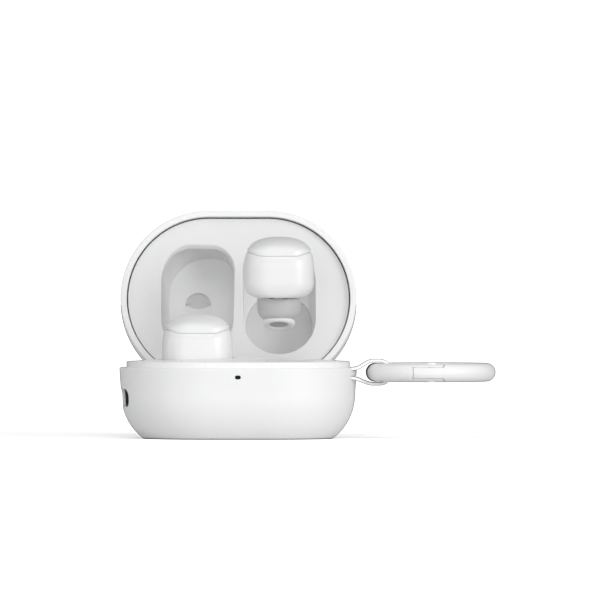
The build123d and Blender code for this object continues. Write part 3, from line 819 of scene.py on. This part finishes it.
def bud_cap(place):
    """Domed cap, hollow underneath, with a short microphone slot."""
    shell = loft(bud_cap_rings(0.9)[::-1] + bud_cap_rings(0))
    cap = make("cap", shell)
    slot = loft([square_ring(0.55, 0.2, 0.19, BUD_APEX + z, 0, -6.6) for z in (-1.35, 1)])
    return settle(carve(cap, slot), place, 40)


def bud_ring(pull, z, share=0.0, depth_pull=None):
    """Ring of the earbud's body, pulled in from its widest outline."""
    back = pull if depth_pull is None else depth_pull
    corner = SOFT_CORNER - 0.3 * pull
    return parted(square_ring(BUD_HALF_W - pull, BUD_HALF_D - back, corner, z), share)


def bud_body(place):
    """Hollow body under the cap, drawn up its outside and down its inside."""
    top = PARTING - 0.03
    rings = [round_ring(1.9, BODY_BOTTOM)]
    for a in quarter(9, 90, 0):
        pull = 0.1 + BUD_FOOT_R * (1 - math.cos(a))
        z = BODY_BOTTOM + BUD_FOOT_R * (1 - math.sin(a))
        rings.append(bud_ring(pull, z, 0.0, 0.36 * pull))
    for a in quarter(9, 0, 90):
        pull, z = 0.1 + 0.92 * (1 - math.cos(a)), top - 3.2 * (1 - math.sin(a))
        rings.append(bud_ring(pull, z, math.sin(a) ** 3))
    for pull, down, share in ((1.5, 0.0, 1.0), (1.75, 0.5, 1.0), (1.8, 3.0, 0.0), (1.8, 7.0, 0.0)):
        rings.append(bud_ring(pull, top - down, share))
    for a in quarter(4, 0, 90):
        pull = 1.8 + 2.6 * (1 - math.cos(a))
        z = BODY_BOTTOM + 1.1 + 2.6 * (1 - math.sin(a))
        rings.append(square_ring(BUD_HALF_W - pull, BUD_HALF_D - pull, 4.0, z))
    rings.append(round_ring(1.9, BODY_BOTTOM + 1.1))
    return settle(make("body", loft(rings, closed=True)), place, 40)


def bud_outlet(place):
    """Sound outlet: a fat round lip on a short stem, tilted to the front."""
    profile = [(2.45, 0.1)] + arc(3.42, 0, 0.93, 180, 430, 18) + [(3.05, 1.2), (3.0, 2.6)]
    lip = loft([round_ring(r, z, turn=16) for r, z in profile])
    tilt = Matrix.Translation((0, -0.4, OUTLET_Z)) @ Matrix.Rotation(math.radians(-20), 4, "X")
    bmesh.ops.transform(lip, matrix=tilt, verts=lip.verts)
    return settle(make("outlet", lip), place, 50)


def bud_contacts(place):
    """Pair of flat charging contacts under the front edge."""
    levels = (BODY_BOTTOM - 0.24, BODY_BOTTOM + 0.4)
    left, right = (box_tool((x - 0.7, x + 0.7), (-8.6, -7.0), levels, 0.3) for x in (-CONTACT_X, CONTACT_X))
    return settle(carve(make("contacts", left), right, operation="UNION"), place)


def bud_tip(place):
    """Thin flexible bucket on a sleeve round the sound outlet."""
    foot, rim = BODY_BOTTOM - 6.2, BODY_BOTTOM - 0.2
    outside = [(3.1, foot + 2.4), (3.1, foot + 0.35), (3.35, foot + 0.05)]
    outside += arc(2.6, foot + 3.25, 3.25, -74, 0, 10)
    outside += [(5.9, foot + 4.2), (5.9, rim - 0.5), (5.86, rim - 0.12)]
    outside += [(5.78, rim), (5.6, rim - 0.02), (5.5, rim - 0.15)]
    inside = [(5.42, rim - 1.0), (5.35, foot + 3.5)]
    inside += arc(2.7, foot + 3.3, 2.65, 0, -68, 7) + [(3.65, foot + 2.4)]
    tip = make("tip", loft([round_ring(r, z, turn=16) for r, z in outside + inside], closed=True))
    return settle(tip, place, 50)


def earbud(side, place):
    """The pieces of one earbud, moved to their place at rest."""
    bud = f"{side}_bud"
    for build, part, material, slot in (
        (bud_cap, "cap", SHELL, "earbud_plastic"),
        (bud_body, "body", SHELL, "earbud_plastic"),
        (bud_tip, "tip", TIP, "tip_silicone"),
        (bud_outlet, "nozzle", SHELL, "earbud_plastic"),
        (bud_contacts, "contacts", DARK_CONTACT_AND_SHADE, "contact_dark"),
    ):
        piece = build(place)
        piece.name = f"{bud}_{part}_shell"
        dress(piece, material, bud, slot, f"{bud}_{part}")


# ------------------------------------------------------------------- strap
def strap_half(x):
    """Half width of the strap: wide at the cover, narrow round the ring."""
    return STRAP_SIDE - (STRAP_SIDE - STRAP_END_HALF) * eased(share_of(x, 31.5, 5.0))


def strap_line():
    """Middle line of the strap as (x, z, half width): from behind the bar out along the top, round the
    ring and back underneath."""
    half_t = STRAP_T / 2
    top, low = STRAP_TOP - half_t, STRAP_LOW + half_t
    reach = LOOP_R - half_t
    start, steps = STRAP_BACK + 0.6, 26
    route = [start + (LOOP_X - STRAP_BACK - 0.6) * (i / steps) for i in range(1, steps + 1)]
    points = [(STRAP_BACK, (top + low) / 2, STRAP_SIDE)]
    points += [(STRAP_BACK, z, STRAP_SIDE) for z in (top - 0.55, top - 0.25, top - 0.07)]
    points.append((STRAP_BACK + 0.25, top, STRAP_SIDE))
    for x in route:
        spread_out = eased(share_of(x, STRAP_SPREAD, 5.4))
        points.append((x, top + (RING_Z + reach - top) * spread_out, strap_half(x)))
    for i in range(1, 16):
        a = math.radians(90 - 180 * i / 16)
        points.append((LOOP_X + reach * math.cos(a), RING_Z + reach * math.sin(a), STRAP_END_HALF))
    for x in route[::-1]:
        share = share_of(x, STRAP_SPREAD, 5.6)
        ease = eased(share) * 0.35 + 0.65 * math.sin(math.pi / 2 * share)
        points.append((x, low + (RING_Z - reach - low) * ease, strap_half(x)))
    points.append((STRAP_BACK + 0.25, low, STRAP_SIDE))
    points += [(STRAP_BACK, z, STRAP_SIDE) for z in (low + 0.07, low + 0.25, low + 0.55)]
    return points


def strap_section(half):
    """Closed cross-section of the strap with rounded edges, as (y, thickness) points."""
    half_t, edge = STRAP_T / 2, 0.25
    turn = quarter(3, 0, 90)
    upper = [(half - edge + edge * math.cos(a), half_t - edge + edge * math.sin(a)) for a in turn]
    upper += [(0.5 * half, half_t), (0.0, half_t), (-0.5 * half, half_t)]
    upper += [(-half + edge - edge * math.sin(a), half_t - edge + edge * math.cos(a)) for a in turn]
    return upper + [(y, -t) for y, t in upper[::-1]]


def strap():
    """One continuous band through the cover's two slots and round the ring."""
    line = strap_line()
    count = len(line)
    round_end = STRAP_BACK - HALF_STRAIGHT  # the band behind the bar follows the round end of the case
    rings = []
    for i, (x, z, half) in enumerate(line):
        before, after = line[i - 1], line[(i + 1) % count]
        along = Vector((after[0] - before[0], 0, after[1] - before[1])).normalized()
        across = Vector((along.z, 0, -along.x))
        bend = min(1.0, max(0.0, (32.2 - x) / 1.6))
        ring = []
        for y, t in strap_section(half):
            sag = round_end - math.sqrt(round_end**2 - y * y)
            ring.append(tuple(Vector((x - sag * bend, y, z)) - across * t))
        rings.append(ring)
    band = settle(make("strap_band", loft(rings, closed=True)), angle=50)
    band.data.materials.append(STRAP)
    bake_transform(band)
    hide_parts("strap_root", "strap_loop")


def ring_painted_shade():
    """Dark sleeve on the ring where the strap holds it: painted shade for the dark crescent of shade at the
    ring's end inside the strap loop.
    """
    steps, first, sweep = 12, 169.5, 21
    rings = []
    for i in range(steps + 1):
        swing = Matrix.Rotation(math.radians(first + sweep * i / steps), 4, "Z")
        thickness = 0.06 if 0 < i < steps else 0.01
        section = arc(RING_R, 0, TUBE_R + thickness, 0, 345, 23)
        rings.append([tuple(swing @ Vector((x, 0, z)) + Vector((RING_X, 0, RING_Z))) for x, z in section])
    shade_sleeve = settle(make("ring_painted_shade", loft(rings)))
    dress(shade_sleeve, DARK_CONTACT_AND_SHADE, "carabiner", "contact_dark")


def main():
    """Finishes, camera and stage first, then every piece that scene.py draws itself."""
    bpy.context.scene.view_settings.view_transform = "Standard"
    finish_cad_nodes()
    camera()
    stage()
    lower_cover()
    status_lens()
    port_painted_shade()
    lid_cover()
    lid_shell()
    lid_liner()
    painted_shade_sheets()
    cradle()
    earbud("left", LEFT_BUD)
    earbud("right", RIGHT_BUD)
    strap()
    ring_painted_shade()


main()
